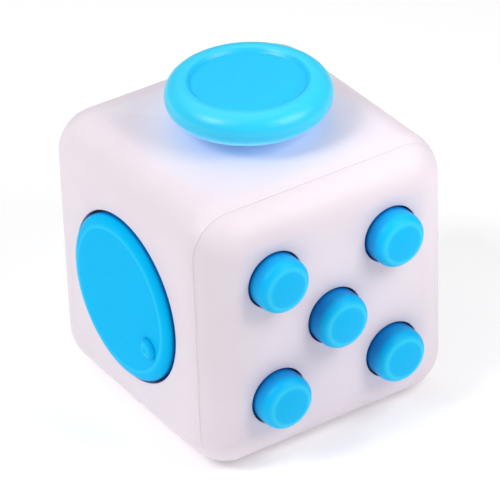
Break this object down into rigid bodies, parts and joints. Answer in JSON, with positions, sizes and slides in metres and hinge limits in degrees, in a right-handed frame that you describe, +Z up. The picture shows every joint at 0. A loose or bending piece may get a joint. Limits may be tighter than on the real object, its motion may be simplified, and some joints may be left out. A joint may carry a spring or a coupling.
{
  "type": "fidget cube",
  "caption": "Rounded desk toy cube with press buttons, a spinning dial, a sliding joystick, gears, a ball, a rocker and a thumb dish.",
  "frame": {"origin": "centre of the flat face that the cube stands on", "axes": "+Z up, towards the joystick; -Y towards the five buttons; -X towards the dial"},
  "size_m": [0.0361, 0.0383, 0.0386],
  "materials": {
    "shell_white": "satin white ABS",
    "accent_blue": "satin sky blue ABS",
    "mechanism_grey": "plain moulded grey plastic",
    "pad_rubber": "matte silicone",
    "steel": "plated steel",
    "polished_steel": "polished bearing steel"
  },
  "bodies": {
    "casing": {"main_shell": "shell_white", "front_cover": "shell_white", "back_cover": "shell_white", "click_plate": "mechanism_grey", "click_plate_screw_1": "steel", "click_plate_screw_2": "steel", "snap_dome_top_left": "steel", "snap_dome_center": "steel", "snap_dome_bottom_right": "steel", "silent_pad_top_right": "pad_rubber", "silent_pad_bottom_left": "pad_rubber", "joystick_tray": "mechanism_grey", "joystick_centering_spring": "steel", "joystick_tray_screw_1": "steel", "joystick_tray_screw_2": "steel", "gear_axle": "steel", "gear_bracket": "mechanism_grey", "gear_detent_spring": "steel", "gear_bracket_screw_1": "steel", "gear_bracket_screw_2": "steel", "ball_housing": "mechanism_grey", "ball_snap_dome": "steel", "ball_housing_screw_1": "steel", "ball_housing_screw_2": "steel", "rocker_pin": "steel", "rocker_housing": "mechanism_grey", "rocker_housing_screw_1": "steel", "rocker_housing_screw_2": "steel"},
    "button_top_left": {"button_top_left": "accent_blue"},
    "button_top_right": {"button_top_right": "accent_blue"},
    "button_center": {"button_center": "accent_blue"},
    "button_bottom_left": {"button_bottom_left": "accent_blue"},
    "button_bottom_right": {"button_bottom_right": "accent_blue"},
    "joystick_carriage": {"joystick_carriage": "mechanism_grey"},
    "joystick": {"joystick_cap": "accent_blue", "joystick_skirt": "accent_blue", "joystick_slider": "mechanism_grey", "joystick_screw": "steel"},
    "dial": {"dial": "accent_blue", "dial_washer": "steel", "dial_screw": "steel"},
    "gear_top": {"gear_top": "accent_blue"},
    "gear_middle": {"gear_middle": "accent_blue"},
    "gear_bottom": {"gear_bottom": "accent_blue"},
    "ball_seat": {"ball_seat": "mechanism_grey"},
    "steel_ball": {"steel_ball": "polished_steel"},
    "rocker": {"rocker": "accent_blue", "rocker_plunger": "steel", "rocker_plunger_spring": "steel"}
  },
  "joints": [
    {"name": "press_top_left", "type": "slide", "parent": "casing", "child": "button_top_left", "axis": [0, 1, 0], "range_m": [0, 0.0012], "stiffness_N_per_m": 1000, "springref_m": -0.0004, "deforming": ["snap_dome_top_left"]},
    {"name": "press_top_right", "type": "slide", "parent": "casing", "child": "button_top_right", "axis": [0, 1, 0], "range_m": [0, 0.0012], "stiffness_N_per_m": 1000, "springref_m": -0.0004, "deforming": ["silent_pad_top_right"]},
    {"name": "press_center", "type": "slide", "parent": "casing", "child": "button_center", "axis": [0, 1, 0], "range_m": [0, 0.0012], "stiffness_N_per_m": 1000, "springref_m": -0.0004, "deforming": ["snap_dome_center"]},
    {"name": "press_bottom_left", "type": "slide", "parent": "casing", "child": "button_bottom_left", "axis": [0, 1, 0], "range_m": [0, 0.0012], "stiffness_N_per_m": 1000, "springref_m": -0.0004, "deforming": ["silent_pad_bottom_left"]},
    {"name": "press_bottom_right", "type": "slide", "parent": "casing", "child": "button_bottom_right", "axis": [0, 1, 0], "range_m": [0, 0.0012], "stiffness_N_per_m": 1000, "springref_m": -0.0004, "deforming": ["snap_dome_bottom_right"]},
    {"name": "joystick_left_right", "type": "slide", "parent": "casing", "child": "joystick_carriage", "axis": [1, 0, 0], "range_m": [-0.0019, 0.0011], "stiffness_N_per_m": 250, "deforming": ["joystick_centering_spring"]},
    {"name": "joystick_front_back", "type": "slide", "parent": "joystick_carriage", "child": "joystick", "axis": [0, 1, 0], "range_m": [-0.0013, 0.0017], "stiffness_N_per_m": 250, "deforming": ["joystick_centering_spring"]},
    {"name": "dial_spin", "type": "hinge", "parent": "casing", "child": "dial", "pos_m": [-0.0165, 0, 0.0165], "axis": [-1, 0, 0], "continuous": true},
    {"name": "gear_top_roll", "type": "hinge", "parent": "casing", "child": "gear_top", "pos_m": [0.0134, -0.0044, 0.0207], "axis": [0, 0, 1], "continuous": true},
    {"name": "gear_middle_roll", "type": "hinge", "parent": "casing", "child": "gear_middle", "pos_m": [0.0134, -0.0044, 0.0165], "axis": [0, 0, 1], "continuous": true},
    {"name": "gear_bottom_roll", "type": "hinge", "parent": "casing", "child": "gear_bottom", "pos_m": [0.0134, -0.0044, 0.0123], "axis": [0, 0, 1], "continuous": true},
    {"name": "ball_press", "type": "slide", "parent": "casing", "child": "ball_seat", "axis": [-1, 0, 0], "range_m": [0, 0.0006], "stiffness_N_per_m": 1500, "springref_m": -0.0003, "deforming": ["ball_snap_dome"]},
    {"name": "ball_roll", "type": "hinge", "parent": "ball_seat", "child": "steel_ball", "pos_m": [0.0144, 0.0055, 0.0165], "axis": [0, 0, 1], "continuous": true},
    {"name": "rocker_flip", "type": "hinge", "parent": "casing", "child": "rocker", "pos_m": [0, 0.0131, 0.0165], "axis": [1, 0, 0], "range_deg": [0, 24]}
  ]
}
